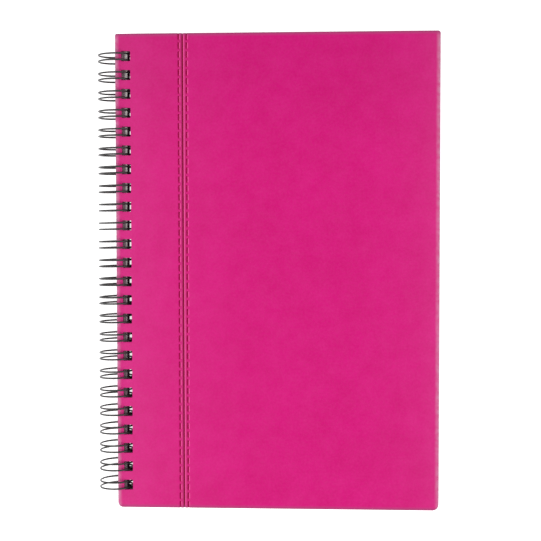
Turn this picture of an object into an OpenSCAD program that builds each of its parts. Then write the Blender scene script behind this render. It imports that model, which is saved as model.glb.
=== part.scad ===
// Twin-loop wire-bound notebook with covered boards, lying on its back cover.
// Book frame: X runs from the covers' spine edge to the fore edge, Y from their middle to the head,
// Z from the middle of the sheets out of the front cover. The wire's axis lies at X = axis_x, Z = 0.

/* [Covers] */
// Width of the covers, spine edge to fore edge
cover_w = 146; // [120:0.2:200]
// Height of the covers, foot to head
cover_h = 215.4; // [180:0.2:300]
// Thickness of the board inside each cover
board_t = 1.3; // [1:0.1:2]
// Thickness of the leatherette on the outside and around the edges
skin_t = 0.5; // [0.4:0.05:0.7]
// Thickness of the leatherette where it is turned in and pressed on the inside
turn_in_t = 0.4; // [0.3:0.05:0.6]
// Width of the turned-in margin on the inside
turn_in_w = 14; // [11:0.5:20]
// Thickness of the paper lining on the inside of a cover
lining_t = 0.2; // [0.15:0.05:0.3]
// Leatherette margin left bare around the lining
lining_inset = 2; // [1.5:0.1:2.4]
// Rounding of the outer long and short edges
edge_r = 0.8; // [0.5:0.05:1]
// Rounding of the edges on the inside of a cover
inner_edge_r = 0.4; // [0.3:0.05:0.5]
// Front cover corner at the head of the spine edge
head_spine_r = 0.9; // [0.9:0.1:4]
// Front cover corner at the head of the fore edge
head_fore_r = 1.2; // [0.9:0.1:4]
// Front cover corner at the foot of the fore edge, worn round
foot_fore_r = 2.8; // [0.9:0.1:4]
// Front cover corner at the foot of the spine edge, worn round
foot_spine_r = 2.4; // [0.9:0.1:4]
// All four corners of the back cover
back_corner_r = 1.5; // [0.9:0.1:4]

/* [Seam and stitching] */
// Distance of the seam from the spine edge
seam_x = 30.6; // [24:0.2:60]
// Width of the open seam between the two leatherette panels
seam_gap = 0.5; // [0.3:0.05:0.8]
// Distance of each row of stitches from the seam
stitch_offset = 1.8; // [1.5:0.1:3]
// Distance from one stitch to the next
stitch_pitch = 4; // [3.4:0.1:5]
// Length of one visible stitch
stitch_len = 2.7; // [2:0.1:3]
// Thickness of the thread
thread_d = 0.5; // [0.4:0.05:0.6]
// Depth of the channel that the thread pulls into the leatherette
channel_depth = 0.2; // [0.1:0.02:0.25]
// Width of that channel at the surface
channel_w = 0.9; // [0.8:0.05:1.2]
// Least distance from the first and last stitch to the cover's ends
stitch_end_margin = 0.3; // [0.3:0.1:4]

/* [Pages] */
// Thickness of the whole stack of sheets
page_stack = 6.4; // [4:0.2:8]
// How far the sheets stay behind the covers at the spine edge
page_spine_inset = 1.5; // [1.3:0.1:1.7]
// How far the sheets stay behind the covers at the fore edge
page_fore_inset = 2.2; // [2:0.1:5]
// How far the sheets stay behind the covers at the head and at the foot
page_end_inset = 2.7; // [2:0.1:5]

/* [Binding] */
// Distance from one double loop to the next, three to the inch
loop_pitch = 8.467; // [8.467:0.001:12.7]
// How far the row of loops lies above the middle of the covers
row_shift = 0.2; // [-1:0.1:1]
// Distance of the middle of a hole from its sheet's own spine edge
hole_margin = 4.95; // [4.8:0.05:5.4]
// Size of a punched hole across the spine
hole_w = 4; // [3.8:0.05:4.2]
// Size of a punched hole along the spine
hole_h = 4.5; // [4.3:0.05:5]
// Thickness of the coated wire
wire_d = 0.8; // [0.7:0.05:0.9]
// How far the middle of the wire stands proud of the covers
loop_rise = 2; // [1.6:0.1:2.4]
// Distance between the two wires of one double loop
prong_gap = 2.85; // [2.6:0.05:2.95]
// Clearance between the wire and the far wall of the sheets' holes
hole_play = 1.4; // [1.2:0.1:1.6]
// Radius of the bends from the loops into the base line
base_bend_r = 1; // [0.8:0.1:1.3]
// Where the loops close, as an angle around the wire's axis
closure_angle = 295; // [292:1:296]
// Angle left out of a full turn where the loops close, in whole degrees
closure_gap = 20; // [19:1:22]

/* [Hidden] */

// Colours, as the photograph shows them
pink = [0.85, 0.15, 0.50];
crimson = [0.60, 0.02, 0.30];
charcoal = [0.16, 0.15, 0.15];
paper_white = [0.95, 0.94, 0.90];
board_grey = [0.55, 0.52, 0.50];

// A little extra length, so that a cut runs right through
cut = 1;
// Gap between a stitch and the bottom of its channel
thread_gap = 0.02;

// Levels in a cover, counted from its inner face outwards
board_z = lining_t + turn_in_t;
skin_z = board_z + board_t;
cover_t = skin_z + skin_t;

// Where the wire runs
book_t = page_stack + 2 * cover_t;
wire_r = wire_d / 2;
ring_r = book_t / 2 + loop_rise;
page_hole_x = page_spine_inset + hole_margin;
axis_x = page_hole_x + hole_w / 2 - hole_play - wire_r - ring_r;
page_h = cover_h - 2 * page_end_inset;
loop_count = floor(page_h / loop_pitch);
prong_offset = prong_gap / 2;
prong_sweep = 360 - closure_gap;
crook_sweep = 60;
prong_start = closure_angle - prong_sweep - closure_gap / 2;
base_straight = loop_pitch - prong_gap - 2 * base_bend_r;

// Where the stitches lie
stitch_count = floor((cover_h - 2 * stitch_end_margin - stitch_len) / stitch_pitch) + 1;
thread_r = thread_d / 2;
channel_r = (pow(channel_w / 2, 2) + pow(channel_depth, 2)) / (2 * channel_depth);

// The book lies on the wire's lowest point and on the back cover's fore edge
reach = cover_w - axis_x - edge_r;
half_t = book_t / 2 - edge_r;
ring_outer_r = ring_r + wire_r;
rest_tilt = asin((ring_outer_r - edge_r) / norm([reach, half_t])) - atan(half_t / reach);
fore_x = reach * cos(rest_tilt) + half_t * sin(rest_tilt) + edge_r;
axis_pos = [(ring_outer_r - fore_x) / 2, 0, ring_outer_r];

wire_sides = 16;
ring_sides = 96;
bend_sides = 32;

// Y of each double loop, from the head to the foot
function loop_y(i) = row_shift + ((loop_count - 1) / 2 - i) * loop_pitch;
// Y of each stitch
function stitch_y(i) = (i - (stitch_count - 1) / 2) * stitch_pitch;
// Corner radii of a cover in the order foot spine, foot fore, head fore, head spine
front_corners = [foot_spine_r, foot_fore_r, head_fore_r, head_spine_r];
back_corners = [back_corner_r, back_corner_r, back_corner_r, back_corner_r];

// Places the book frame as the book lies on a table, origin under the middle of its box
module as_it_lies() {
    translate(axis_pos) rotate([0, rest_tilt, 0]) translate([-axis_x, 0, 0]) children();
}

// What a corner of radius r loses, with the corner at the origin and the shape up and right
module corner_bite(r) {
    difference() {
        translate([-cut, -cut]) square(r + cut);
        translate([r, r]) circle(r, $fn = bend_sides);
    }
}

// Rectangle with a radius of its own at each corner, counted round from the low corner
module rounded_rect(low, high, radii) {
    difference() {
        translate(low) square(high - low);
        translate(low) corner_bite(radii[0]);
        translate([high[0], low[1]]) mirror([1, 0]) corner_bite(radii[1]);
        translate(high) mirror([1, 0]) mirror([0, 1]) corner_bite(radii[2]);
        translate([low[0], high[1]]) mirror([0, 1]) corner_bite(radii[3]);
    }
}

// Outline of a cover, stepped in by a margin
module cover_outline(inset, radii) {
    rounded_rect([inset, inset - cover_h / 2], [cover_w - inset, cover_h / 2 - inset],
                 [for (r = radii) max(r - inset, 0.1)]);
}

// Plain rectangle of a cover, stepped in by a margin
module cover_window(inset) {
    translate([inset, inset - cover_h / 2]) square([cover_w - 2 * inset, cover_h - 2 * inset]);
}

// Section across a wrapped cover of the given length, rounded on the outside and the inside
module cover_section(length) {
    rounded_rect([0, lining_t], [length, cover_t], [inner_edge_r, inner_edge_r, edge_r, edge_r]);
}

// Outer shape of the leatherette around a cover
module cover_slab(radii) {
    intersection() {
        translate([0, 0, lining_t]) linear_extrude(cover_t - lining_t) cover_outline(0, radii);
        translate([0, cover_h / 2, 0]) rotate([90, 0, 0]) linear_extrude(cover_h) cover_section(cover_w);
        translate([0, -cover_h / 2, 0]) rotate([90, 0, 90]) linear_extrude(cover_w) cover_section(cover_h);
    }
}

// The row of punched holes as solids, around a line at the given distance from the spine edge
module punched_holes(x, height) {
    for (i = [0 : loop_count - 1])
        translate([x - hole_w / 2, loop_y(i) - hole_h / 2, -cut]) cube([hole_w, hole_h, height + 2 * cut]);
}

// Leatherette wrapped around a board and turned in, with its inside open to the board
module covering(radii) {
    difference() {
        cover_slab(radii);
        translate([0, 0, board_z]) linear_extrude(board_t) cover_outline(skin_t, radii);
        linear_extrude(board_z) cover_window(turn_in_w);
        punched_holes(hole_margin, cover_t);
    }
}

// Stiff board of a cover
module board(radii) {
    difference() {
        translate([0, 0, board_z]) linear_extrude(board_t) cover_outline(skin_t, radii);
        punched_holes(hole_margin, cover_t);
    }
}

// Paper lining, glued over the turned-in margin and down to the board inside it
module lining() {
    difference() {
        linear_extrude(board_z) cover_window(lining_inset);
        difference() {
            translate([0, 0, lining_t]) linear_extrude(board_z) cover_window(lining_inset - cut);
            linear_extrude(2 * board_z) cover_window(turn_in_w);
        }
        translate([0, 0, -cut]) linear_extrude(cut + turn_in_t) cover_window(turn_in_w + lining_t);
        punched_holes(hole_margin, cover_t);
    }
}

// Channel that a row of stitches pulls into the front cover
module stitch_channel(x) {
    translate([x, 0, cover_t + channel_r - channel_depth]) rotate([90, 0, 0])
        cylinder(r = channel_r, h = cover_h + 2 * cut, center = true, $fn = bend_sides);
}

// One stitch lying along Y, tapered at both ends where it goes down into the leatherette
module stitch() {
    half = stitch_len / 2;
    rotate([90, 0, 0]) rotate_extrude($fn = wire_sides)
        polygon([[0, -half], [thread_r / 2, -half], [thread_r, thread_d - half],
                 [thread_r, half - thread_d], [thread_r / 2, half], [0, half]]);
}

// A row of stitches along the front cover
module stitch_row(x) {
    for (i = [0 : stitch_count - 1])
        translate([x, stitch_y(i), cover_t - channel_depth + thread_gap + thread_r]) stitch();
}

// Puts a front cover piece on top of the sheets
module on_front() {
    as_it_lies() translate([0, 0, page_stack / 2]) children();
}

// Puts a back cover piece under the sheets, inside up
module on_back() {
    as_it_lies() mirror([0, 0, 1]) translate([0, 0, page_stack / 2]) children();
}

// Front leatherette between two distances from the spine edge
module front_panel(from_x, to_x, channel_x) {
    color(pink) on_front() intersection() {
        difference() {
            covering(front_corners);
            stitch_channel(channel_x);
        }
        translate([from_x, -cover_h / 2 - cut, -cut])
            cube([to_x - from_x, cover_h + 2 * cut, cover_t + 2 * cut]);
    }
}

module front_spine_panel() {
    front_panel(-cut, seam_x - seam_gap / 2, seam_x - stitch_offset);
}

module front_main_panel() {
    front_panel(seam_x + seam_gap / 2, cover_w + cut, seam_x + stitch_offset);
}

module spine_side_stitches() {
    color(crimson) on_front() stitch_row(seam_x - stitch_offset);
}

module fore_side_stitches() {
    color(crimson) on_front() stitch_row(seam_x + stitch_offset);
}

module front_board() {
    color(board_grey) on_front() board(front_corners);
}

module front_lining() {
    color(paper_white) on_front() lining();
}

// All the sheets, as one block
module page_block() {
    sheet_w = cover_w - page_spine_inset - page_fore_inset;
    color(paper_white) as_it_lies() translate([0, 0, -page_stack / 2]) difference() {
        translate([page_spine_inset, -page_h / 2, 0]) cube([sheet_w, page_h, page_stack]);
        punched_holes(page_hole_x, page_stack);
    }
}

// Arc of wire about Z, from the X axis over a whole number of degrees
module wire_arc(radius, sweep, sides) {
    rotate_extrude(angle = sweep, $fn = sides) translate([radius, 0]) circle(wire_r, $fn = wire_sides);
}

// The tip of a double loop, with the last stretch of its two prongs. The X axis is its frame
module crook() {
    for (side = [-1, 1]) translate([0, 0, side * prong_offset])
        mirror([0, 1, 0]) wire_arc(ring_r, crook_sweep, ring_sides);
    translate([ring_r, 0, 0]) rotate([0, 90, 0]) wire_arc(prong_offset, 180, bend_sides);
}

// One double loop: two prongs from the base line round to the crook. Z runs along the binding
module hairpin() {
    union() {
        rotate([0, 0, prong_sweep]) crook();
        translate([0, 0, prong_offset]) wire_arc(ring_r, prong_sweep - crook_sweep / 2, ring_sides);
    }
    translate([0, 0, -prong_offset]) wire_arc(ring_r, prong_sweep - crook_sweep / 2, ring_sides);
}

// The base line from one double loop to the next, with a bend at each end
module base_link() {
    translate([ring_r, 0, 0]) {
        translate([0, 0, prong_offset + base_bend_r]) rotate([0, 90, 0]) rotate([0, 0, -90])
            wire_arc(base_bend_r, 90, bend_sides);
        translate([0, -base_bend_r, prong_offset + base_bend_r])
            cylinder(r = wire_r, h = base_straight, $fn = wire_sides);
        translate([0, 0, loop_pitch - prong_offset - base_bend_r]) rotate([0, 90, 0]) rotate([0, 0, 180])
            wire_arc(base_bend_r, 90, bend_sides);
    }
}

// The whole binding, one wire from head to foot
module wire_binding() {
    color(charcoal) as_it_lies() translate([axis_x, 0, 0]) rotate([90, 0, 0]) rotate([0, 0, prong_start])
        for (i = [0 : loop_count - 1]) translate([0, 0, -loop_y(i)]) {
            hairpin();
            if (i < loop_count - 1) base_link();
        }
}

module back_board() {
    color(board_grey) on_back() board(back_corners);
}

module back_covering() {
    color(pink) on_back() covering(back_corners);
}

module back_lining() {
    color(paper_white) on_back() lining();
}

front_spine_panel();
front_main_panel();
spine_side_stitches();
fore_side_stitches();
front_board();
front_lining();
page_block();
wire_binding();
back_board();
back_covering();
back_lining();
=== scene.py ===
"""Wire-bound notebook with leatherette covers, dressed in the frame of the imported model."""
import math

import bpy
import numpy as np
from mathutils import Matrix, Vector


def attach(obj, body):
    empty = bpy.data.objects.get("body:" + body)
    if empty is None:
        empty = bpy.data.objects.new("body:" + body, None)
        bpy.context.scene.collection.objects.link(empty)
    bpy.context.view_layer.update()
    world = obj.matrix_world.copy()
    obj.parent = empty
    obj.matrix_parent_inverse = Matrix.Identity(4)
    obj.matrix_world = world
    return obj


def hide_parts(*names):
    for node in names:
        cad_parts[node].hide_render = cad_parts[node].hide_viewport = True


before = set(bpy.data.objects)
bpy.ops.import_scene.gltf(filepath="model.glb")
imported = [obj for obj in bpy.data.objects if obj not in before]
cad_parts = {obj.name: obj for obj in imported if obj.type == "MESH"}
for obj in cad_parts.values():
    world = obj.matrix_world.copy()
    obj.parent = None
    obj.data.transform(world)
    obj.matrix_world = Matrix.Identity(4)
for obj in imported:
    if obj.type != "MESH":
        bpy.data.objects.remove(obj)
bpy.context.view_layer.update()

MM = 0.001

# ---------------------------------------------------------------- sizes, in millimetres
# The book frame: X from the covers' spine edge to the fore edge, Y from the foot to the head,
# Z out of the front cover, with Z = 0 in the middle of the sheets. Same values as the CAD part.
COVER_W, COVER_H = 146.0, 215.4
BOARD_T, SKIN_T, TURN_IN_T, TURN_IN_W, LINING_T = 1.3, 0.5, 0.4, 14.0, 0.2
EDGE_R, INNER_EDGE_R = 0.8, 0.4
FRONT_CORNERS = (2.4, 2.8, 1.2, 0.9)  # foot spine, foot fore, head fore, head spine
BACK_CORNERS = (1.5, 1.5, 1.5, 1.5)
SEAM_X, SEAM_GAP = 30.6, 0.5
STITCH_OFFSET, STITCH_PITCH, STITCH_LEN, THREAD_D = 1.8, 4.0, 2.7, 0.5
CHANNEL_DEPTH, STITCH_END_MARGIN = 0.2, 0.3
PAGE_STACK, PAGE_SPINE_INSET, PAGE_FORE_INSET, PAGE_END_INSET = 6.4, 1.5, 2.2, 2.7
LOOP_PITCH, ROW_SHIFT = 8.467, 0.2
HOLE_MARGIN, HOLE_W, HOLE_H = 4.95, 4.0, 4.5
WIRE_R, LOOP_RISE, PRONG_GAP, HOLE_PLAY = 0.4, 2.0, 2.85, 1.4
BASE_BEND_R, CLOSURE_ANGLE, CLOSURE_GAP = 1.0, 295.0, 20.0

BOARD_Z = LINING_T + TURN_IN_T
SKIN_Z = BOARD_Z + BOARD_T
COVER_T = SKIN_Z + SKIN_T
BOOK_T = PAGE_STACK + 2 * COVER_T
RING_R = BOOK_T / 2 + LOOP_RISE
PAGE_HOLE_X = PAGE_SPINE_INSET + HOLE_MARGIN
AXIS_X = PAGE_HOLE_X + HOLE_W / 2 - HOLE_PLAY - WIRE_R - RING_R
PAGE_H = COVER_H - 2 * PAGE_END_INSET
LOOP_COUNT = int(PAGE_H // LOOP_PITCH)
LOOP_YS = [ROW_SHIFT + ((LOOP_COUNT - 1) / 2 - i) * LOOP_PITCH for i in range(LOOP_COUNT)]
STITCH_COUNT = int((COVER_H - 2 * STITCH_END_MARGIN - STITCH_LEN) // STITCH_PITCH) + 1
STITCH_YS = [(i - (STITCH_COUNT - 1) / 2) * STITCH_PITCH for i in range(STITCH_COUNT)]

# The sheets lie a little askew under the covers: turned clockwise, and nearer the fore edge
SHEETS_TURN, SHEETS_SHIFT = math.radians(0.42), 0.15

# How the closed book lies: on the wire's lowest point and the back cover's fore edge
REACH = COVER_W - AXIS_X - EDGE_R
HALF_T = BOOK_T / 2 - EDGE_R
RING_OUTER_R = RING_R + WIRE_R
TILT = math.asin((RING_OUTER_R - EDGE_R) / math.hypot(REACH, HALF_T)) - math.atan(HALF_T / REACH)
FORE_X = REACH * math.cos(TILT) + HALF_T * math.sin(TILT) + EDGE_R
AXIS_POS = ((RING_OUTER_R - FORE_X) / 2, 0.0, RING_OUTER_R)
BOOK = (
    Matrix.Translation(Vector(AXIS_POS) * MM)
    @ Matrix.Rotation(TILT, 4, "Y")
    @ Matrix.Translation((-AXIS_X * MM, 0, 0))
)


# ---------------------------------------------------------------- camera, light and floor
FLOOR_GREY = (0.86, 0.86, 0.86, 1)
FLOOR_Z = -0.0001  # metres; just under the book, so that no faces coincide
IMAGE_PX = 541
FOCAL_PX = 1146.37
SENSOR_MM = 36.0
# Place and axes of the camera in the book frame
CAMERA_POS = (97.677, 23.297, 521.272)
CAMERA_AXES = (
    (0.998578, -0.001586, -0.053279),
    (-0.000721, 0.999064, -0.043245),
    (0.053297, 0.043222, 0.997643),
)


def make_camera():
    """The camera at the photograph's place and angle."""
    data = bpy.data.cameras.new("camera")
    data.sensor_width = SENSOR_MM
    data.lens = FOCAL_PX / IMAGE_PX * SENSOR_MM
    data.clip_start, data.clip_end = 0.01, 20
    camera = bpy.data.objects.new("camera", data)
    bpy.context.scene.collection.objects.link(camera)
    turn = Matrix(CAMERA_AXES).transposed().to_4x4()
    camera.matrix_world = BOOK @ Matrix.Translation(Vector(CAMERA_POS) * MM) @ turn
    bpy.context.scene.camera = camera


def make_lamp(name, place, size, power):
    """A square soft box that faces the book."""
    data = bpy.data.lights.new(name, "AREA")
    data.shape = "SQUARE"
    data.size = size
    data.energy = power
    lamp = bpy.data.objects.new(name, data)
    bpy.context.scene.collection.objects.link(lamp)
    lamp.location = place
    lamp.rotation_euler = (-Vector(place)).to_track_quat("-Z", "Y").to_euler()


def node(tree, kind, inputs=None, **settings):
    """A shader node with its inputs set to values or linked to sockets."""
    made = tree.nodes.new(kind)
    for key, value in settings.items():
        setattr(made, key, value)
    for key, value in (inputs or {}).items():
        if isinstance(value, bpy.types.NodeSocket):
            tree.links.new(value, made.inputs[key])
        else:
            made.inputs[key].default_value = value
    return made


def math_node(tree, operation, *values):
    """The result of a Math node."""
    return node(tree, "ShaderNodeMath", dict(enumerate(values)), operation=operation).outputs[0]


def level(tree, value, low, high, to_low=0.0, to_high=1.0):
    """A value stretched from one range to another, and held there."""
    inputs = {"Value": value, "From Min": low, "From Max": high, "To Min": to_low, "To Max": to_high}
    return node(tree, "ShaderNodeMapRange", inputs).outputs[0]


def seen_rays(tree):
    """1 for camera, glossy and transmission rays, and 0 for the light that falls on surfaces."""
    path = node(tree, "ShaderNodeLightPath").outputs
    seen = math_node(tree, "MAXIMUM", path["Is Camera Ray"], path["Is Glossy Ray"])
    return math_node(tree, "MAXIMUM", seen, path["Is Transmission Ray"])


def make_world(horizon, overhead):
    """A plain white surrounding that lights the object mostly from above."""
    world = bpy.data.worlds.new("world")
    world.use_nodes = True
    tree = world.node_tree
    tree.nodes.clear()
    heading = node(tree, "ShaderNodeTexCoord").outputs["Generated"]
    height = node(tree, "ShaderNodeSeparateXYZ", {0: heading}).outputs["Z"]
    light = level(tree, height, 0.0, 1.0, horizon, overhead)
    lit = node(tree, "ShaderNodeBackground", {"Color": (1, 1, 1, 1), "Strength": light})
    seen = node(tree, "ShaderNodeBackground", {"Color": (1, 1, 1, 1), "Strength": 1.0})
    both = node(tree, "ShaderNodeMixShader", {0: seen_rays(tree), 1: lit.outputs[0], 2: seen.outputs[0]})
    node(tree, "ShaderNodeOutputWorld", {"Surface": both.outputs[0]})
    bpy.context.scene.world = world


def make_floor(size, glow):
    """A pale floor that is white to the camera and still takes the object's shadow."""
    half = size / 2
    corners = [(-half, -half, 0), (half, -half, 0), (half, half, 0), (-half, half, 0)]
    mesh = bpy.data.meshes.new("floor")
    mesh.from_pydata(corners, [], [(0, 1, 2, 3)])
    material = bpy.data.materials.new("floor")
    material.use_nodes = True
    tree = material.node_tree
    tree.nodes.clear()
    matt = node(tree, "ShaderNodeBsdfDiffuse", {"Color": FLOOR_GREY})
    light = math_node(tree, "MULTIPLY", seen_rays(tree), glow)
    stitch_highlights = node(tree, "ShaderNodeEmission", {"Color": (1, 1, 1, 1), "Strength": light})
    both = node(tree, "ShaderNodeAddShader", {0: matt.outputs[0], 1: stitch_highlights.outputs[0]})
    node(tree, "ShaderNodeOutputMaterial", {"Surface": both.outputs[0]})
    mesh.materials.append(material)
    floor = bpy.data.objects.new("floor", mesh)
    bpy.context.scene.collection.objects.link(floor)
    floor.location.z = FLOOR_Z


bpy.context.scene.view_settings.view_transform = "Standard"
make_camera()
make_world(horizon=0.12, overhead=0.77)
make_lamp("key_light", (-0.85, -0.7, 1.35), size=0.9, power=12.6)
make_lamp("fill_light", (1.3, -0.1, 1.0), size=1.1, power=5.4)
make_floor(size=6, glow=0.78)


# ---------------------------------------------------------------- materials
STRIP_CORE = 0.35  # share of a strip's half width that is full strength

# The leatherette. Colours are in linear light, and widths and sizes of patches in millimetres.
# A colour goes from nothing at its FROM to its MOST at its TO, or lies within its HALF of a line.
PINK = [(0.3, 0.655, 0.0010, 0.176), (0.7, 0.735, 0.0025, 0.220)]
PATCH_SIZE, PATCH_SHARE = 14.0, 0.45
MOTTLE_SIZE, MOTTLE_SHARE = 1.3, 0.55
# Painted sheen: the pink grows paler towards the long edges, standing in for reflected light. Random pale
# specks and clouds use the same colour.
SHEEN_AND_MOTTLE_PINK = (0.9, 0.62, 1.0, 1)
PAINTED_SHEEN_ACROSS = ((0.03, 0.030), (0.15, 0.014), (0.4, 0.0), (0.74, 0.0), (0.87, 0.006), (0.94, 0.013),
               (0.985, 0.027))  # (share of the cover's width, amount of painted sheen)
SPECK_SIZE, SPECK_HAZE = 0.9, 0.020
CLOUD_SIZE, CLOUD_HAZE = 7.0, 0.009
HEAD_FROM, HEAD_TO, HEAD_PAINTED_SHADE = 0.23, 0.45, 0.075  # shares of the cover's height, and the amount of painted shade
# Painted highlight along the long edges, made patchy by noise
EDGE_HIGHLIGHT_PINK, EDGE_HIGHLIGHT_FROM, EDGE_HIGHLIGHT_TO, EDGE_HIGHLIGHT_MOST = (0.66, 0.64, 0.75, 1), 2.1, 0.3, 0.33
# Painted shade on the head and foot ends, where the surface turns away from the light
END_SHADE_PINK, END_FROM, END_TO, END_MOST = (0.41, 0.065, 0.190, 1), 1.8, 0.5, 0.8
PEBBLE_SIZE, CREASE_SIZE, CREASE_SHARE, GRAIN_DEPTH = 0.55, 0.3, 0.6, 0.035
# Darker and greyer between the two rows of stitches
SEAM_BAND_PINK, SEAM_BAND_HALF, SEAM_BAND_MOST = (0.45, 0.045, 0.17, 1), 1.9, 0.35
# Painted highlights where the leatherette faces the light: on the fore-edge side of the fold and of each
# stitch
PAINTED_HIGHLIGHT_PINK, HIGHLIGHT_HALF = (0.93, 0.095, 0.360, 1), 0.34
STITCH_HIGHLIGHT_OFF, FOLD_HIGHLIGHT_OFF = 0.55, 0.6  # towards the fore edge
HIGHLIGHT_PAST_STITCH, HIGHLIGHT_SHORT_OF_STITCH = 0.15, 0.35  # where it ends, from the stitch's end
# Painted shade down in the seam's fold
FOLD_SHADE_RED, FOLD_SHADE_HALF = (0.27, 0.0, 0.030, 1), 0.4

# The sheets
STACK_LINES = [(0.35, 0.86, 0.85, 0.83), (0.6, 1.0, 1.0, 1.0)]
LINE_THICK, LINE_RUN = 0.13, 0.02  # a line's thickness, and how much slower it changes along a sheet
# Painted shade, tinted by painted pink bounce light, on the walls of the punched holes
HOLE_WALL_SHADE_TINT, HOLE_WALL_REACH = (0.44, 0.17, 0.38, 1), 0.9
# Painted shadow of the cover's hole edge and the wire on the paper beside each hole's spine side
HOLE_SHADOW_TINT, HOLE_SHADOW_HALF_X, HOLE_SHADOW_OFF_X = (0.42, 0.33, 0.39, 1), 1.1, 1.0  # off the holes' spine sides
HOLE_SHADOW_FROM_Y, HOLE_SHADOW_TO_Y = 2.7, 2.0  # where the painted shadow begins and is full, from the hole's middle
ROW_END, ROW_END_FADE = 2.0, 1.0  # the painted shade and shadow at the holes end this far from the head and the foot


def new_material(name):
    """A material with its shader and the object's own coordinates: (material, tree, shader, vector)."""
    material = bpy.data.materials.new(name)
    material.use_nodes = True
    tree = material.node_tree
    tree.nodes.clear()
    shader = node(tree, "ShaderNodeBsdfPrincipled")
    node(tree, "ShaderNodeOutputMaterial", {"Surface": shader.outputs[0]})
    vector = node(tree, "ShaderNodeTexCoord").outputs["Object"]
    return material, tree, shader, vector


def noise(tree, vector, size_mm, detail=2.0, roughness=0.5):
    """Noise from 0 to 1 with patches of the given size."""
    inputs = {"Vector": vector, "Scale": 1 / (size_mm * MM), "Detail": detail, "Roughness": roughness}
    return node(tree, "ShaderNodeTexNoise", inputs).outputs[0]


def stretched(tree, vector, scale):
    """The coordinates scaled along each axis."""
    return node(tree, "ShaderNodeVectorMath", {0: vector, 1: scale}, operation="MULTIPLY").outputs[0]


def ramp(tree, factor, stops):
    """A colour for each level of a factor; stops are (place, red, green, blue) in linear light."""
    made = node(tree, "ShaderNodeValToRGB", {0: factor})
    points = made.color_ramp.elements
    while len(points) < len(stops):
        points.new(0.5)
    for point, (place, *colour) in zip(points, stops):
        point.position = place
        point.color = (*colour, 1)
    return made.outputs[0]


def mix(tree, factor, first, second, blend="MIX"):
    """Two colours mixed. The mix node's colour sockets are its inputs 6 and 7 and its output 2."""
    inputs = {0: factor, 6: first, 7: second}
    return node(tree, "ShaderNodeMix", inputs, data_type="RGBA", blend_type=blend).outputs[2]


def bump(tree, shader, height, depth_mm, strength):
    """Fine relief of the given depth on a shader."""
    inputs = {"Height": height, "Distance": depth_mm * MM, "Strength": strength}
    tree.links.new(node(tree, "ShaderNodeBump", inputs).outputs[0], shader.inputs["Normal"])


def distance(tree, value, middle):
    """How far a value is from a middle, without its sign."""
    return math_node(tree, "ABSOLUTE", math_node(tree, "SUBTRACT", value, middle))


def from_nearest(tree, value, halfway_mm, pitch_mm):
    """How far a place is from the nearest of a row of holes or stitches, as a share of their pitch.
    One place halfway between two of them is halfway_mm."""
    turns = math_node(tree, "DIVIDE", math_node(tree, "SUBTRACT", value, halfway_mm * MM), pitch_mm * MM)
    return distance(tree, math_node(tree, "FRACT", turns), 0.5)


def strip(tree, value, middle_mm, half_mm):
    """1 in the middle of a strip and 0 beyond its half width."""
    away = distance(tree, value, middle_mm * MM)
    return level(tree, away, half_mm * MM, half_mm * STRIP_CORE * MM)


def shaded_by(tree, factor, colour, tint):
    """A colour multiplied by a tint where the factor is 1."""
    return mix(tree, factor, colour, mix(tree, 1.0, colour, tint, blend="MULTIPLY"))


def seam_tone_shade_and_highlights(tree, place, colour):
    """The leatherette's colour along the seam: darker and greyer between the two rows of stitches,
    painted shade in the fold, and painted highlights on the fore-edge side of the fold and of each
    stitch."""
    seam_band = math_node(tree, "MULTIPLY", strip(tree, place[0], SEAM_X, SEAM_BAND_HALF), SEAM_BAND_MOST)
    colour = mix(tree, seam_band, colour, SEAM_BAND_PINK)
    # Painted highlights on the fore-edge side of each stitch and of the fold
    from_stitch = from_nearest(tree, place[1], -STITCH_COUNT / 2 * STITCH_PITCH, STITCH_PITCH)
    beside = level(tree, from_stitch, (STITCH_LEN / 2 + HIGHLIGHT_PAST_STITCH) / STITCH_PITCH,
                   (STITCH_LEN / 2 - HIGHLIGHT_SHORT_OF_STITCH) / STITCH_PITCH)
    rows = [strip(tree, place[0], SEAM_X + side * STITCH_OFFSET + STITCH_HIGHLIGHT_OFF, HIGHLIGHT_HALF)
            for side in (-1, 1)]
    stitch_highlights = math_node(tree, "MULTIPLY", math_node(tree, "MAXIMUM", *rows), beside)
    fold_highlight = strip(tree, place[0], SEAM_X + FOLD_HIGHLIGHT_OFF, HIGHLIGHT_HALF)
    colour = mix(tree, math_node(tree, "MAXIMUM", stitch_highlights, fold_highlight), colour, PAINTED_HIGHLIGHT_PINK)
    # Painted shade in the fold
    return mix(tree, strip(tree, place[0], SEAM_X, FOLD_SHADE_HALF), colour, FOLD_SHADE_RED)


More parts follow.
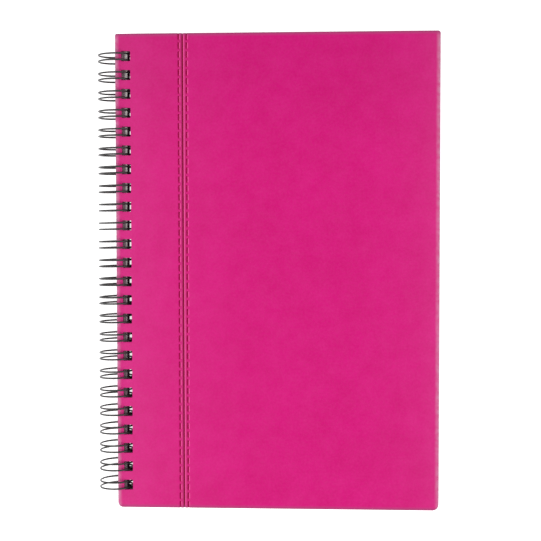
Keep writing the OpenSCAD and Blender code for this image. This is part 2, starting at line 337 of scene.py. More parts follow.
def leatherette_material(name, seam):
    """Pink coated cloth with a fine pebbled grain and random pale specks and clouds, with painted shade
    towards the head, a painted sheen growing towards the long edges, painted highlights along those
    edges, and painted shade on the head and foot ends."""
    material, tree, shader, vector = new_material(name)
    place = node(tree, "ShaderNodeSeparateXYZ", {0: vector}).outputs
    from_sides = math_node(tree, "SUBTRACT", COVER_W / 2 * MM, distance(tree, place[0], COVER_W / 2 * MM))
    from_ends = math_node(tree, "SUBTRACT", COVER_H / 2 * MM, math_node(tree, "ABSOLUTE", place[1]))

    patches = noise(tree, vector, PATCH_SIZE, detail=2.0)
    mottles = noise(tree, vector, MOTTLE_SIZE, detail=3.0, roughness=0.6)
    both = math_node(tree, "ADD", math_node(tree, "MULTIPLY", patches, PATCH_SHARE),
                     math_node(tree, "MULTIPLY", mottles, MOTTLE_SHARE))
    colour = ramp(tree, both, PINK)

    # Painted sheen across the cover's width, standing in for reflected light, plus random pale specks and
    # clouds
    sheen_and_mottle = ramp(tree, math_node(tree, "DIVIDE", place[0], COVER_W * MM),
                [(at, amount, amount, amount) for at, amount in PAINTED_SHEEN_ACROSS])
    specks = noise(tree, vector, SPECK_SIZE, detail=3.0, roughness=0.6)
    specks = level(tree, specks, 0.35, 0.8, 0.0, SPECK_HAZE)
    clouds = level(tree, noise(tree, vector, CLOUD_SIZE, detail=3.0), 0.35, 0.75, 0.0, CLOUD_HAZE)
    sheen_and_mottle = math_node(tree, "ADD", sheen_and_mottle, math_node(tree, "ADD", specks, clouds))
    colour = mix(tree, sheen_and_mottle, colour, SHEEN_AND_MOTTLE_PINK)
    # Painted shade: a little darker towards the head
    head_shade = level(tree, place[1], COVER_H * HEAD_FROM * MM, COVER_H * HEAD_TO * MM, 0.0, HEAD_PAINTED_SHADE)
    colour = mix(tree, head_shade, colour, (0, 0, 0, 1))

    if seam:
        colour = seam_tone_shade_and_highlights(tree, place, colour)
    # Painted highlight along the long edges, made patchy by noise
    highlight_patchiness = level(tree, noise(tree, vector, 2.5, detail=4.0), 0.35, 0.65, 0.5, 1.3)
    painted_light_mask = level(tree, from_sides, EDGE_HIGHLIGHT_FROM * MM, EDGE_HIGHLIGHT_TO * MM, 0.0, EDGE_HIGHLIGHT_MOST)
    colour = mix(tree, math_node(tree, "MULTIPLY", painted_light_mask, highlight_patchiness), colour, EDGE_HIGHLIGHT_PINK)
    # Painted shade on the head and foot ends, where the surface turns away from the light
    shaded = level(tree, from_ends, END_FROM * MM, END_TO * MM, 0.0, END_MOST)
    colour = mix(tree, shaded, colour, END_SHADE_PINK)
    tree.links.new(colour, shader.inputs["Base Color"])

    inputs = {"Vector": vector, "Scale": 1 / (PEBBLE_SIZE * MM)}
    pebbles = node(tree, "ShaderNodeTexVoronoi", inputs).outputs[0]
    creases = math_node(tree, "MULTIPLY", noise(tree, vector, CREASE_SIZE, detail=3.0), CREASE_SHARE)
    bump(tree, shader, math_node(tree, "ADD", pebbles, creases), GRAIN_DEPTH, strength=0.6)
    tree.links.new(level(tree, mottles, 0.3, 0.7, 0.44, 0.56), shader.inputs["Roughness"])
    shader.inputs["Specular IOR Level"].default_value = 0.13
    return material


def thread_material():
    """Crimson twisted thread."""
    material, tree, shader, vector = new_material("crimson_thread")
    fibres = noise(tree, stretched(tree, vector, (3.0, 1.0, 3.0)), 0.18, detail=3.0)
    stops = [(0.3, 0.30, 0.0004, 0.046), (0.7, 0.50, 0.002, 0.088)]
    tree.links.new(ramp(tree, fibres, stops), shader.inputs["Base Color"])
    bump(tree, shader, fibres, 0.03, strength=0.5)
    shader.inputs["Roughness"].default_value = 0.55
    shader.inputs["Specular IOR Level"].default_value = 0.1
    return material


def paper_material(name, stops):
    """Paper with fine fibres: (material, tree, shader, vector, colour)."""
    material, tree, shader, vector = new_material(name)
    fibres = noise(tree, vector, 0.6, detail=4.0, roughness=0.65)
    colour = ramp(tree, fibres, stops)
    tree.links.new(colour, shader.inputs["Base Color"])
    bump(tree, shader, fibres, 0.01, strength=0.5)
    shader.inputs["Roughness"].default_value = 0.85
    shader.inputs["Specular IOR Level"].default_value = 0.25
    return material, tree, shader, vector, colour


def sheets_material():
    """White paper in a stack: faint lines between the sheets, painted shade with a painted pink bounce of
    light on the punched holes' walls, and a painted shadow of the cover and the wire beside the holes."""
    stops = [(0.3, 0.80, 0.785, 0.74), (0.7, 0.88, 0.87, 0.835)]
    material, tree, shader, vector, colour = paper_material("sheets", stops)
    place = node(tree, "ShaderNodeSeparateXYZ", {0: vector}).outputs

    def within(axis, middle, reach, fade=0.02):
        """1 inside a slab around the middle along an axis, and 0 outside, in millimetres."""
        away = distance(tree, place[axis], middle * MM)
        return level(tree, away, reach * MM, (reach - fade) * MM)

    between = within(2, 0.0, PAGE_STACK / 2)
    lines = noise(tree, stretched(tree, vector, (LINE_RUN, LINE_RUN, 1.0)), LINE_THICK, detail=1.0)
    colour = shaded_by(tree, between, colour, ramp(tree, lines, STACK_LINES))

    # Painted shade, with a painted pink bounce of light, on the walls of the punched holes
    in_row = within(1, 0.0, PAGE_H / 2 - ROW_END, fade=ROW_END_FADE)
    in_column = within(0, PAGE_HOLE_X + SHEETS_SHIFT, HOLE_W / 2 + HOLE_WALL_REACH)
    hole_wall_shade = math_node(tree, "MINIMUM", math_node(tree, "MINIMUM", between, in_row), in_column)
    colour = shaded_by(tree, hole_wall_shade, colour, HOLE_WALL_SHADE_TINT)

    # Painted shadow of the cover's hole edge and the wire beside each hole's spine side
    from_hole = from_nearest(tree, place[1], ROW_SHIFT, LOOP_PITCH)
    painted_light_mask = math_node(tree, "MULTIPLY",
                       level(tree, from_hole, HOLE_SHADOW_FROM_Y / LOOP_PITCH, HOLE_SHADOW_TO_Y / LOOP_PITCH),
                       strip(tree, place[0], PAGE_HOLE_X - HOLE_W / 2 - HOLE_SHADOW_OFF_X, HOLE_SHADOW_HALF_X))
    colour = shaded_by(tree, math_node(tree, "MULTIPLY", painted_light_mask, in_row), colour, HOLE_SHADOW_TINT)
    tree.links.new(colour, shader.inputs["Base Color"])
    return material


def board_material():
    """Grey board made of waste paper, with darker and paler flecks."""
    material, tree, shader, vector = new_material("grey_board")
    flecks = noise(tree, vector, 0.35, detail=4.0, roughness=0.7)
    stops = [(0.3, 0.10, 0.070, 0.085), (0.5, 0.17, 0.130, 0.145), (0.72, 0.28, 0.24, 0.25)]
    tree.links.new(ramp(tree, flecks, stops), shader.inputs["Base Color"])
    bump(tree, shader, flecks, 0.05, strength=0.6)
    shader.inputs["Roughness"].default_value = 0.95
    shader.inputs["Specular IOR Level"].default_value = 0.2
    return material


def wire_material():
    """Steel wire with a thin black plastic coat."""
    material, tree, shader, vector = new_material("black_coated_wire")
    uneven = noise(tree, vector, 1.1, detail=3.0)
    stops = [(0.3, 0.010, 0.0095, 0.0095), (0.7, 0.024, 0.022, 0.022)]
    tree.links.new(ramp(tree, uneven, stops), shader.inputs["Base Color"])
    tree.links.new(level(tree, uneven, 0.3, 0.7, 0.27, 0.38), shader.inputs["Roughness"])
    bump(tree, shader, noise(tree, vector, 0.5, detail=2.0), 0.01, strength=0.4)
    shader.inputs["Specular IOR Level"].default_value = 0.5
    return material


LEATHERETTE = leatherette_material("pink_leatherette_front", seam=True)
BACK_LEATHERETTE = leatherette_material("pink_leatherette_back", seam=False)
THREAD = thread_material()
SHEETS = sheets_material()
LINING = paper_material("lining_paper", [(0.3, 0.74, 0.72, 0.66), (0.7, 0.83, 0.81, 0.76)])[0]
BOARD = board_material()
WIRE = wire_material()


# ---------------------------------------------------------------- mesh building
def add_piece(name, points, faces, body, material, stands_for, sharp_deg=40.0):
    """Adds a mesh in the book frame, in millimetres, that rides on a body and stands for CAD nodes."""
    mesh = bpy.data.meshes.new(name)
    mesh.from_pydata((np.asarray(points, float) * MM).tolist(), [], faces)
    mesh.shade_smooth()
    mesh.set_sharp_from_angle(angle=math.radians(sharp_deg))
    mesh.materials.append(material)
    piece = bpy.data.objects.new(name, mesh)
    bpy.context.scene.collection.objects.link(piece)
    piece.matrix_world = BOOK
    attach(piece, body)
    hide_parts(*stands_for)


def lines_between(low, high, wanted, step, least=0.04):
    """Grid lines from low to high: the wanted ones, apart from any closer than least to another, and
    more so that no two are further apart than step."""
    kept = [low]
    for value in sorted(wanted):
        if value - kept[-1] > least and high - value > least:
            kept.append(value)
    kept.append(high)
    lines = [low]
    for first, second in zip(kept, kept[1:]):
        count = max(1, math.ceil((second - first) / step))
        lines += [first + (second - first) * k / count for k in range(1, count + 1)]
    return np.array(lines)


def waves(x, y, size, seed, count=7):
    """Smooth, shallow, random undulation of about one unit, with the given distance between crests."""
    draw = np.random.default_rng(seed)
    total = 0
    for heading, stretch, phase in draw.uniform(0, 1, (count, 3)):
        pace = 2 * math.pi / size * (0.6 + 0.8 * stretch)
        turn = 2 * math.pi * heading
        total = total + np.sin(pace * (x * math.cos(turn) + y * math.sin(turn)) + 2 * math.pi * phase)
    return total / math.sqrt(count)


def rounded(u, v, half_u, half_v, radius):
    """Moves a point on a rectangle's edge onto the rectangle's rounded corner, where it is near one."""
    cu, cv = half_u - radius, half_v - radius
    if abs(u) <= cu or abs(v) <= cv:
        return u, v
    du, dv = abs(u) - cu, abs(v) - cv
    far = math.hypot(du, dv)
    return math.copysign(cu + du / far * radius, u), math.copysign(cv + dv / far * radius, v)


class Shell:
    """Collects the points and faces of a closed surface."""

    def __init__(self):
        self.points, self.faces = [], []

    def add(self, points):
        """Adds points and returns their numbers."""
        first = len(self.points)
        self.points += [tuple(p) for p in points]
        return list(range(first, len(self.points)))

    def band(self, first, second, closed):
        """Faces between two rows of points."""
        count = len(first)
        for k in range(count if closed else count - 1):
            after = (k + 1) % count
            self.faces.append((first[k], first[after], second[after], second[k]))

    def slab(self, xs, ys, z_low, z_high, solid):
        """A flat slab of grid cells, with walls around the cells that solid leaves out."""
        nx, ny = len(xs), len(ys)
        numbers = {}

        def point(i, j, top):
            key = (i, j, top)
            if key not in numbers:
                numbers[key] = self.add([(xs[i], ys[j], z_high if top else z_low)])[0]
            return numbers[key]

        is_solid = {(i, j): solid((xs[i] + xs[i + 1]) / 2, (ys[j] + ys[j + 1]) / 2)
                    for i in range(nx - 1) for j in range(ny - 1)}
        sides = (((0, 0), (1, 0), (0, -1)), ((1, 0), (1, 1), (1, 0)),
                 ((1, 1), (0, 1), (0, 1)), ((0, 1), (0, 0), (-1, 0)))
        for (i, j), filled in is_solid.items():
            if not filled:
                continue
            corners = [(i, j), (i + 1, j), (i + 1, j + 1), (i, j + 1)]
            self.faces.append(tuple(point(*c, True) for c in corners))
            self.faces.append(tuple(point(*c, False) for c in reversed(corners)))
            for start, end, way in sides:
                if not is_solid.get((i + way[0], j + way[1]), False):
                    a, b = (i + start[0], j + start[1]), (i + end[0], j + end[1])
                    wall = ((a, False), (b, False), (b, True), (a, True))
                    self.faces.append(tuple(point(*place, top) for place, top in wall))


# ---------------------------------------------------------------- leatherette
GRID_INSET = 2.5  # where the flat grid of a cover ends and the wrapped edge begins
CORNER_ZONE = 3.0  # stretch of the grid next to it that spreads out to the cover's corner
EDGE_INSETS = (1.7, 1.15)  # rows of the wrapped edge that are still on the flat outer face
EDGE_STEPS, INNER_EDGE_STEPS = 8, 4  # steps round each quarter turn of the wrapped edge
INNER_INSET = 1.2  # first row on the flat inner face
TURN_IN_SHOWN = 2.6  # the turned-in margin up to here is part of the wrapped edge
HOLE_RIM, HOLE_CORNER = 0.15, 0.3
RIM_STEPS = ((0.08, 0.015), (0.03, 0.05), (0.0, 0.12))  # (outset, drop) down into a hole
NEAR_HOLE = (-HOLE_RIM - 0.3, -HOLE_RIM, 0.1, 0.3)  # grid lines inwards from each side of a hole
SIDE_DIP = 0.1  # deepest relief on the cover's vertical sides and underneath
PADDING_WAVE, GRAIN_WAVE = (0.02, 24), (0.006, 5)  # (height, distance between crests)
LEAST_CORNER_R = 0.05

SEAM_ROLL = 0.42  # radius of the leatherette's edges along the seam
CHANNEL_HALF, CHANNEL_LEAST = 0.55, 0.05  # a stitch row's channel, and its depth between stitches
NEEDLE_DEPTH, NEEDLE_HALF = 0.16, 0.35
SWELL_HEIGHT, SWELL_OFF, SWELL_HALF = 0.07, 0.85, 0.5  # the leatherette stands up beside a stitch


def edge_profile():
    """The wrapped edge from the outer face to the inside: (inset, level, outward, up)."""
    rows = [(inset, COVER_T, 0, 1) for inset in EDGE_INSETS]
    for k in range(EDGE_STEPS + 1):
        turn = math.radians(90 * k / EDGE_STEPS)
        rows.append((EDGE_R * (1 - math.sin(turn)), COVER_T - EDGE_R * (1 - math.cos(turn)),
                     math.sin(turn), math.cos(turn)))
    rows.append((0, (COVER_T - EDGE_R + BOARD_Z) / 2, 1, 0))
    for k in range(INNER_EDGE_STEPS + 1):
        turn = math.radians(90 * k / INNER_EDGE_STEPS)
        rows.append((INNER_EDGE_R * (1 - math.cos(turn)), BOARD_Z - INNER_EDGE_R * math.sin(turn),
                     math.cos(turn), -math.sin(turn)))
    rows += [(INNER_INSET, LINING_T, 0, -1), (TURN_IN_SHOWN, LINING_T, 0, -1)]
    hidden = [(TURN_IN_SHOWN, BOARD_Z), (SKIN_T, BOARD_Z), (SKIN_T, SKIN_Z)]
    return rows + [(inset, z, 0, 0) for inset, z in hidden]


def bell(distance, width):
    """A smooth bump that is 1 in the middle and 0 beyond its width."""
    part = np.clip(1 - (distance / width) ** 2, 0, 1)
    return part * part


def front_relief(x, y):
    """How far the front leatherette lies below its flat level at the seam and the stitches."""
    from_gap = np.abs(x - SEAM_X) - SEAM_GAP / 2
    rolled = np.clip(SEAM_ROLL - from_gap, 0, SEAM_ROLL)
    depth = SEAM_ROLL - np.sqrt(SEAM_ROLL ** 2 - rolled ** 2)
    from_stitch = np.abs((y / STITCH_PITCH + STITCH_COUNT / 2) % 1 - 0.5) * STITCH_PITCH
    past_stitch = np.clip((from_stitch - STITCH_LEN / 2 - 0.1) / 0.4, 0, 1)
    under = CHANNEL_LEAST + (CHANNEL_DEPTH - CHANNEL_LEAST) * (1 - past_stitch)
    needle = NEEDLE_DEPTH * bell(from_stitch - STITCH_LEN / 2, NEEDLE_HALF)
    for row_x in (SEAM_X - STITCH_OFFSET, SEAM_X + STITCH_OFFSET):
        away = x - row_x
        depth = depth + under * bell(away, CHANNEL_HALF) + needle * bell(away, NEEDLE_HALF)
        swell = SWELL_HEIGHT * bell(np.abs(away) - SWELL_OFF, SWELL_HALF)
        depth = depth - swell * (1.2 - from_stitch / STITCH_PITCH)
    return depth


def plain_relief(x, y):
    """The back leatherette has no seam."""
    return np.zeros(np.broadcast(x, y).shape)


def hole_lines():
    """Grid lines along Y that the punched holes of a cover need."""
    lines = []
    for y in LOOP_YS:
        lines += [y - HOLE_H / 2 + k for k in NEAR_HOLE] + [y] + [y + HOLE_H / 2 - k for k in NEAR_HOLE]
    return lines


def stitch_lines():
    """Grid lines along Y that the stitches need."""
    half = STITCH_LEN / 2
    near = (-half - 0.3, -half - 0.1, -half + 0.12, -half + 0.5, 0,
            half - 0.5, half - 0.12, half + 0.1, half + 0.3)
    return [y + k for y in STITCH_YS for k in near]


def leather_shell(xs, ys, radii, relief, holes, wave_seed, seam_low=False, seam_high=False):
    """Leatherette over one cover or a part of it, as a closed shell around the board's edges.
    Heights run from the cover's inner face outwards. A side that isn't a seam is wrapped."""
    shell = Shell()
    nx, ny = len(xs), len(ys)
    gx, gy = np.meshgrid(xs, ys, indexing="ij")
    sink = relief(gx, gy)
    for number, (height, crests) in enumerate((PADDING_WAVE, GRAIN_WAVE)):
        sink = sink - height * waves(gx, gy, crests, wave_seed + number)
    top = np.stack([gx, gy, COVER_T - sink], axis=-1)
    under = np.stack([gx, gy, np.full(gx.shape, SKIN_Z)], axis=-1)

    # The holes' places in the grid, with their rims rounded at the corners
    gone, loops = set(), []
    for hole_y in holes:
        half_w, half_h = HOLE_W / 2 + HOLE_RIM, HOLE_H / 2 + HOLE_RIM
        ia, ib = (int(np.argmin(np.abs(xs - (HOLE_MARGIN + s * half_w)))) for s in (-1, 1))
        ja, jb = (int(np.argmin(np.abs(ys - (hole_y + s * half_h)))) for s in (-1, 1))
        gone |= {(i, j) for i in range(ia, ib) for j in range(ja, jb)}
        loop = [(i, ja) for i in range(ia, ib)] + [(ib, j) for j in range(ja, jb)]
        loop += [(i, jb) for i in range(ib, ia, -1)] + [(ia, j) for j in range(jb, ja, -1)]
        loops.append((hole_y, loop, [(xs[i] - HOLE_MARGIN, ys[j] - hole_y) for i, j in loop]))

    def rim(hole_y, places, outset):
        """The hole's outline, stepped out, at the loop's places."""
        half_w, half_h = HOLE_W / 2 + HOLE_RIM, HOLE_H / 2 + HOLE_RIM
        new_w, new_h = HOLE_W / 2 + outset, HOLE_H / 2 + outset
        for u, v in places:
            u, v = rounded(u / half_w * new_w, v / half_h * new_h, new_w, new_h, HOLE_CORNER + outset)
            yield HOLE_MARGIN + u, hole_y + v

    for hole_y, loop, places in loops:
        for (i, j), outer, inner in zip(loop, rim(hole_y, places, HOLE_RIM), rim(hole_y, places, 0)):
            top[i, j, :2] = outer
            under[i, j, :2] = inner

    top_ids = np.array(shell.add(top.reshape(-1, 3))).reshape(nx, ny)
    under_ids = np.array(shell.add(under.reshape(-1, 3))).reshape(nx, ny)
    for i in range(nx - 1):
        for j in range(ny - 1):
            if (i, j) not in gone:
                cell = ((i, j), (i + 1, j), (i + 1, j + 1), (i, j + 1))
                shell.faces.append(tuple(int(top_ids[c]) for c in cell))
                shell.faces.append(tuple(int(under_ids[c]) for c in reversed(cell)))
    for hole_y, loop, places in loops:
        row = [int(top_ids[c]) for c in loop]
        heights = [top[c][2] for c in loop]
        for outset, drop in RIM_STEPS:
            stepped = zip(rim(hole_y, places, outset), heights)
            made = shell.add([(x, y, z - drop) for (x, y), z in stepped])
            shell.band(row, made, closed=True)
            row = made
        shell.band(row, [int(under_ids[c]) for c in loop], closed=True)

    # The path around the wrapped sides, clockwise seen from outside
    bottom = [(i, 0) for i in range(nx - 1, -1, -1)]
    left = [(0, j) for j in range(ny)]
    head = [(i, ny - 1) for i in range(nx)]
    right = [(nx - 1, j) for j in range(ny - 1, -1, -1)]
    if seam_high:
        path = bottom + left[1:] + head[1:]
    elif seam_low:
        path = head + right[1:] + bottom[1:]
    else:
        path = left + head[1:] + right[1:] + bottom[1:-1]
    closed = not (seam_low or seam_high)

    def spread(value, limit, inset):
        """Moves a grid place near the cover's corner out to the given inset."""
        edge = limit - value
        if edge >= GRID_INSET + CORNER_ZONE:
            return value
        part = (edge - GRID_INSET) / CORNER_ZONE
        return limit - (inset + part * (GRID_INSET + CORNER_ZONE - inset))

    def around(inset):
        """The path's points on the cover's outline, stepped in, with the outward direction."""
        half_w, half_h = COVER_W / 2 - inset, COVER_H / 2 - inset
        for i, j in path:
            u, v = xs[i] - COVER_W / 2, ys[j]
            u = math.copysign(spread(abs(u), COVER_W / 2, inset), u)
            v = math.copysign(spread(abs(v), COVER_H / 2, inset), v)
            on_end = j in (0, ny - 1)
            on_side = (i == 0 and not seam_low) or (i == nx - 1 and not seam_high)
            if on_end and not on_side:
                v = math.copysign(half_h, v)
            if on_side and not on_end:
                u = math.copysign(half_w, u)
            corner = (3 if v > 0 else 0) if u < 0 else (2 if v > 0 else 1)
            radius = max(radii[corner] - inset, LEAST_CORNER_R)
            cu, cv = half_w - radius, half_h - radius
            new_u, new_v = rounded(u, v, half_w, half_h, radius)
            out = Vector((math.copysign(max(abs(new_u) - cu, 0), u) if on_side or abs(u) > cu else 0,
                          math.copysign(max(abs(new_v) - cv, 0), v) if on_end or abs(v) > cv else 0))
            yield COVER_W / 2 + new_u, new_v, out.normalized()

    row = [int(top_ids[c]) for c in path]
    start, end = [row[0]], [row[-1]]
    for inset, z, outward, up in edge_profile():
        limit = SIDE_DIP + (SEAM_ROLL - SIDE_DIP) * max(up, 0) ** 2
        made = []
        for x, y, out in around(inset):
            dip = min(max(float(relief(x, y)), 0), limit)
            made.append((x - out.x * outward * dip, y - out.y * outward * dip, z - up * dip))
        made = shell.add(made)
        shell.band(row, made, closed)
        row = made
        start.append(row[0])
        end.append(row[-1])
    last = [int(under_ids[c]) for c in path]
    shell.band(row, last, closed)
    if not closed:
        shell.faces.append(tuple(start + [last[0]]))
        shell.faces.append(tuple([last[-1]] + end[::-1]))
        i = nx - 1 if seam_high else 0
        for j in range(ny - 1):
            corners = (top_ids[i, j], under_ids[i, j], under_ids[i, j + 1], top_ids[i, j + 1])
            face = tuple(int(corner) for corner in corners)
            shell.faces.append(face if seam_high else face[::-1])
    return shell


def turned_in(shell, low, high):
    """The rest of the turned-in margin, under the lining, with its punched holes."""
    edge_x, edge_y = TURN_IN_SHOWN, COVER_H / 2 - TURN_IN_SHOWN
    xs = [edge_x, HOLE_MARGIN - HOLE_W / 2, HOLE_MARGIN + HOLE_W / 2, TURN_IN_W, COVER_W - TURN_IN_W,
          COVER_W - edge_x]
    xs = sorted({min(max(x, low), high) for x in xs + [low, high] if edge_x <= x <= COVER_W - edge_x})
    ys = [-edge_y, TURN_IN_W - COVER_H / 2, COVER_H / 2 - TURN_IN_W, edge_y]
    ys = sorted(ys + [y + s * HOLE_H / 2 for y in LOOP_YS for s in (-1, 1)])

    def solid(x, y):
        open_board = TURN_IN_W < x < COVER_W - TURN_IN_W and abs(y) < COVER_H / 2 - TURN_IN_W
        hole_wall_shade = abs(x - HOLE_MARGIN) < HOLE_W / 2 and any(abs(y - h) < HOLE_H / 2 for h in LOOP_YS)
        return not (open_board or hole_wall_shade)

    shell.slab(xs, ys, LINING_T, BOARD_Z, solid)


def cover_piece(name, shell, front, material):
    """Adds a leatherette shell on the front or the back of the sheets, in place of its CAD node."""
    points = np.array(shell.points)
    points[:, 2] += PAGE_STACK / 2
    faces = shell.faces
    if not front:
        points[:, 2] *= -1
        faces = [face[::-1] for face in faces]
    body = "front_cover" if front else "back_cover"
    add_piece(name + "_leatherette", points, faces, body, material, [name])


CORNER_LINES = [GRID_INSET + k for k in (0.18, 0.36, 0.55, 0.75, 1.0, 1.3, 1.7, 2.2, 3.0)]
HOLE_COLUMN = [HOLE_MARGIN + s * (HOLE_W / 2 - k) for s in (-1, 1) for k in NEAR_HOLE]
ROW_LINES = (-0.9, -0.72, -0.55, -0.4, -0.27, -0.13, 0, 0.13, 0.27, 0.4, 0.55, 0.72, 0.9)
SEAM_LINES = [SEAM_GAP / 2 + k for k in (0, 0.02, 0.06, 0.12, 0.2, 0.3, SEAM_ROLL)]
END_LINES = [s * (COVER_H / 2 - k) for s in (-1, 1) for k in CORNER_LINES]
GRID_TOP = COVER_H / 2 - GRID_INSET
SEAM_MEET = 0.02  # half of the gap that is left at the bottom of the seam
FRONT_SEED, BACK_SEED = 11, 31

spine_xs = lines_between(
    GRID_INSET, SEAM_X - SEAM_MEET,
    CORNER_LINES + HOLE_COLUMN + [SEAM_X - STITCH_OFFSET + k for k in ROW_LINES]
    + [SEAM_X - k for k in SEAM_LINES], step=1.6, least=0.015)
main_xs = lines_between(
    SEAM_X + SEAM_MEET, COVER_W - GRID_INSET,
    [SEAM_X + STITCH_OFFSET + k for k in ROW_LINES] + [SEAM_X + k for k in SEAM_LINES]
    + [COVER_W - k for k in CORNER_LINES], step=3.0, least=0.015)
back_xs = lines_between(
    GRID_INSET, COVER_W - GRID_INSET,
    CORNER_LINES + HOLE_COLUMN + [COVER_W - k for k in CORNER_LINES], step=3.0)
spine_ys = lines_between(-GRID_TOP, GRID_TOP, hole_lines() + stitch_lines() + END_LINES, step=1.2)
main_ys = lines_between(-GRID_TOP, GRID_TOP, stitch_lines() + END_LINES, step=1.5)
back_ys = lines_between(-GRID_TOP, GRID_TOP, hole_lines() + END_LINES, step=2.0)

spine_shell = leather_shell(spine_xs, spine_ys, FRONT_CORNERS, front_relief, LOOP_YS, FRONT_SEED,
                            seam_high=True)
turned_in(spine_shell, 0, SEAM_X - SEAM_GAP / 2)
cover_piece("front_spine_panel", spine_shell, True, LEATHERETTE)
main_shell = leather_shell(main_xs, main_ys, FRONT_CORNERS, front_relief, [], FRONT_SEED, seam_low=True)
turned_in(main_shell, SEAM_X + SEAM_GAP / 2, COVER_W)
cover_piece("front_main_panel", main_shell, True, LEATHERETTE)
back_shell = leather_shell(back_xs, back_ys, BACK_CORNERS, plain_relief, LOOP_YS, BACK_SEED)
turned_in(back_shell, 0, COVER_W)
cover_piece("back_covering", back_shell, False, BACK_LEATHERETTE)


# ---------------------------------------------------------------- tubes along a line
TUBE_START = (0.3, 0.5, 0.81)  # a direction that no line here starts in


def tube(shell, line, radius, sides, turn_per_mm=0.0, off_centre=0.0, phase=0.0):
    """Adds a round tube along a line. A strand of a twisted thread runs off the line's centre and
    turns about it."""
    line = np.asarray(line, float)
    ahead = np.gradient(line, axis=0)
    ahead /= np.linalg.norm(ahead, axis=1)[:, None]
    side = np.cross(ahead[0], TUBE_START)
    rows, run = [], 0.0
    for k, (centre, forward) in enumerate(zip(line, ahead)):
        side = side - forward * side.dot(forward)
        side /= np.linalg.norm(side)
        other = np.cross(forward, side)
        if k:
            run += np.linalg.norm(centre - line[k - 1])
        if off_centre:
            turn = phase + run * turn_per_mm
            centre = centre + off_centre * (math.cos(turn) * side + math.sin(turn) * other)
        angles = [2 * math.pi * s / sides for s in range(sides)]
        ring = [centre + radius * (math.cos(a) * side + math.sin(a) * other) for a in angles]
        rows.append(shell.add(ring))
    for first, second in zip(rows, rows[1:]):
        shell.band(first[::-1], second[::-1], closed=True)
    shell.faces.append(tuple(rows[0][::-1]))
    shell.faces.append(tuple(rows[-1]))


# ---------------------------------------------------------------- stitches
PLY_R, PLY_OFF, PLY_SIDES = 0.15, 0.11, 7
PLY_TURN = 2 * math.pi / 1.25  # one turn of the twist in 1.25 mm
THREAD_GAP = 0.02  # between the thread and the bottom of its channel
STITCH_POINTS = 25
STRAIGHT_PART = 0.62  # share of a stitch's half that lies flat, before its end is drawn down
END_DROP, END_CURVE = 0.42, 1.7
SHIFT_SPREAD, LEAN_SPREAD = 0.03, 0.02


def stitch_row(name, x):
    """Adds a row of stitches of two-ply thread, each with its ends drawn down into the leatherette."""
    shell = Shell()
    draw = np.random.default_rng(int(x * 10))
    lying = PAGE_STACK / 2 + COVER_T - CHANNEL_DEPTH + THREAD_GAP + THREAD_D / 2
    half = STITCH_LEN / 2
    for y in STITCH_YS:
        turn = draw.uniform(0, 2 * math.pi)
        shift = draw.normal(0, SHIFT_SPREAD)
        lean = draw.normal(0, LEAN_SPREAD)
        line = []
        for part in np.linspace(-1, 1, STITCH_POINTS):
            sunk = max(0.0, (abs(part) - STRAIGHT_PART) / (1 - STRAIGHT_PART))
            over_edge = max(0.0, abs(y + part * half) - COVER_H / 2 + EDGE_R)
            rolled = EDGE_R - math.sqrt(EDGE_R ** 2 - over_edge ** 2)
            z = lying - rolled - END_DROP * sunk ** END_CURVE
            line.append((x + shift + lean * part, y + part * half, z))
        for ply in (0, math.pi):
            tube(shell, line, PLY_R, PLY_SIDES, PLY_TURN, PLY_OFF, turn + ply)
    add_piece(name + "_thread", shell.points, shell.faces, "front_cover", THREAD, [name])


stitch_row("spine_side_stitches", SEAM_X - STITCH_OFFSET)
stitch_row("fore_side_stitches", SEAM_X + STITCH_OFFSET)


# ---------------------------------------------------------------- sheets
SHEET_COUNT = 64
SHEET_SEED = 5
# How far a sheet's sides and its holes step in, the least and the most: every second sheet, and
# the ones between them
SHEET_INSETS = ((0.0, 0.03), (0.06, 0.16))
SHEET_HOLE_STEPS = ((0.0, 0.01), (0.02, 0.06))


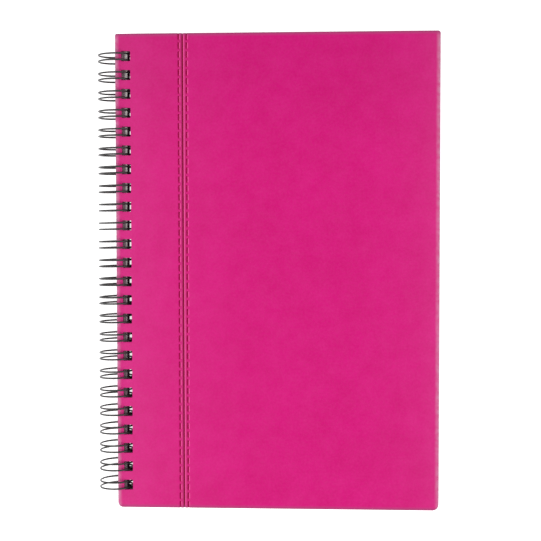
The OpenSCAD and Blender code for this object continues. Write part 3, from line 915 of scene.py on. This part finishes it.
def sheet_stack():
    """Adds the sheets as one closed body whose sides step in and out a little from sheet to sheet."""
    shell = Shell()
    draw = np.random.default_rng(SHEET_SEED)
    low_x, high_x = PAGE_SPINE_INSET, COVER_W - PAGE_FORE_INSET
    hole_xs = (PAGE_HOLE_X - HOLE_W / 2, PAGE_HOLE_X + HOLE_W / 2)
    hole_ys = sorted((y - HOLE_H / 2, y + HOLE_H / 2) for y in LOOP_YS)
    mesh_ys = [-PAGE_H / 2] + [v for pair in hole_ys for v in pair] + [PAGE_H / 2]
    thick = PAGE_STACK / SHEET_COUNT
    inner_count = len(mesh_ys) - 2

    def outline(sides, z):
        """The sheet's outer edge, stepped in by (spine, fore, foot, head), counter-clockwise."""
        x0, x1 = low_x + sides[0], high_x - sides[1]
        y0, y1 = -PAGE_H / 2 + sides[2], PAGE_H / 2 - sides[3]
        inner = mesh_ys[1:-1]
        points = [(x0, y0), (hole_xs[0], y0), (hole_xs[1], y0), (x1, y0)]
        points += [(x1, y) for y in inner] + [(x1, y1), (hole_xs[1], y1), (hole_xs[0], y1), (x0, y1)]
        points += [(x0, y) for y in reversed(inner)]
        return [(x, y, z) for x, y in points]

    def hole(pair, step, z):
        """A hole's outline, stepped out, clockwise."""
        x0, x1, y0, y1 = hole_xs[0] - step, hole_xs[1] + step, pair[0] - step, pair[1] + step
        return [(x, y, z) for x, y in ((x0, y0), (x0, y1), (x1, y1), (x1, y0))]

    previous = None
    caps = []
    for k in range(SHEET_COUNT):
        sides = draw.uniform(*SHEET_INSETS[k % 2], 4)
        steps = draw.uniform(*SHEET_HOLE_STEPS[k % 2], len(hole_ys))
        for z in (-PAGE_STACK / 2 + k * thick, -PAGE_STACK / 2 + (k + 1) * thick):
            rows = [shell.add(outline(sides, z))]
            rows += [shell.add(hole(pair, step, z)) for pair, step in zip(hole_ys, steps)]
            if previous:
                for before, after in zip(previous, rows):
                    shell.band(before, after, closed=True)
            else:
                caps.append(rows)
            previous = rows
    caps.append(previous)

    for rows, up in zip(caps, (False, True)):
        outer, holes = rows[0], rows[1:]
        foot, fore = outer[:4], outer[3:4 + inner_count + 1]
        top = outer[4 + inner_count:8 + inner_count]
        spine = [outer[0]] + outer[8 + inner_count:][::-1] + [top[-1]]
        # Columns at the holes' two sides: the corner points of the holes between the two ends
        left = [foot[1]] + [h[c] for h in holes for c in (0, 1)] + [top[2]]
        right = [foot[2]] + [h[c] for h in holes for c in (3, 2)] + [top[1]]
        faces = []
        for j in range(inner_count + 1):
            faces.append((spine[j], left[j], left[j + 1], spine[j + 1]))
            if j % 2 == 0:
                faces.append((left[j], right[j], right[j + 1], left[j + 1]))
            faces.append((right[j], fore[j], fore[j + 1], right[j + 1]))
        shell.faces += faces if up else [face[::-1] for face in faces]
    points = np.array(shell.points)
    x, y = points[:, 0] - PAGE_HOLE_X, points[:, 1].copy()
    points[:, 0] = PAGE_HOLE_X + SHEETS_SHIFT + x * math.cos(SHEETS_TURN) + y * math.sin(SHEETS_TURN)
    points[:, 1] = y * math.cos(SHEETS_TURN) - x * math.sin(SHEETS_TURN)
    add_piece("sheets", points, shell.faces, "pages", SHEETS, ["page_block"], sharp_deg=20.0)


sheet_stack()


# ---------------------------------------------------------------- wire
# The wire sits a little askew in its holes: its loops slant along the spine, and the row of loops
# is turned against the covers.
LOOP_SLANT, WIRE_TURN, WIRE_SHIFT = 0.02, 0.0025, (-0.08, -0.25)
PRONG_POINTS, TIP_STEPS, BEND_STEPS, WIRE_SIDES = 76, 12, 6, 12


def wire_line():
    """The centre line of the whole wire, from the first loop's free end to the last one's."""
    offset = PRONG_GAP / 2
    sweep = 360 - CLOSURE_GAP
    start = CLOSURE_ANGLE - sweep - CLOSURE_GAP / 2
    straight = LOOP_PITCH - PRONG_GAP - 2 * BASE_BEND_R
    line = []

    def at(angle, along, back=0.0):
        """A point on the loops' cylinder; back is a distance along the tangent at that angle."""
        turn = math.radians(start + angle)
        x = AXIS_X + RING_R * math.cos(turn) - back * math.sin(turn)
        z = RING_R * math.sin(turn) + back * math.cos(turn)
        y = WIRE_SHIFT[1] + LOOP_SLANT * x - along
        return (x + WIRE_TURN * y + WIRE_SHIFT[0], y, z)

    for i, y in enumerate(LOOP_YS):
        angles = np.linspace(0, sweep, PRONG_POINTS)
        line += [at(a, -y - offset) for a in angles]
        for k in range(1, TIP_STEPS):
            turn = math.pi * k / TIP_STEPS
            line.append(at(sweep, -y - offset * math.cos(turn), offset * math.sin(turn)))
        line += [at(a, -y + offset) for a in angles[::-1]]
        if i < LOOP_COUNT - 1:
            bend = [math.pi / 2 * k / BEND_STEPS for k in range(1, BEND_STEPS + 1)]
            line += [at(0, -y + offset + BASE_BEND_R * (1 - math.cos(b)), -BASE_BEND_R * math.sin(b))
                     for b in bend]
            line.append(at(0, -y + offset + BASE_BEND_R + straight / 2, -BASE_BEND_R))
            far = -y + LOOP_PITCH - offset
            line += [at(0, far - BASE_BEND_R * (1 - math.sin(b)), -BASE_BEND_R * math.cos(b))
                     for b in [0.0] + bend[:-1]]
    return line


wire_shell = Shell()
tube(wire_shell, wire_line(), WIRE_R, WIRE_SIDES)
add_piece("wire", wire_shell.points, wire_shell.faces, "back_cover", WIRE,
          ["wire_binding"], sharp_deg=60.0)


# ---------------------------------------------------------------- CAD nodes that stay
for name, material in (("front_board", BOARD), ("back_board", BOARD), ("front_lining", LINING),
                       ("back_lining", LINING)):
    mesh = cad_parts[name].data
    mesh.materials.clear()
    mesh.materials.append(material)
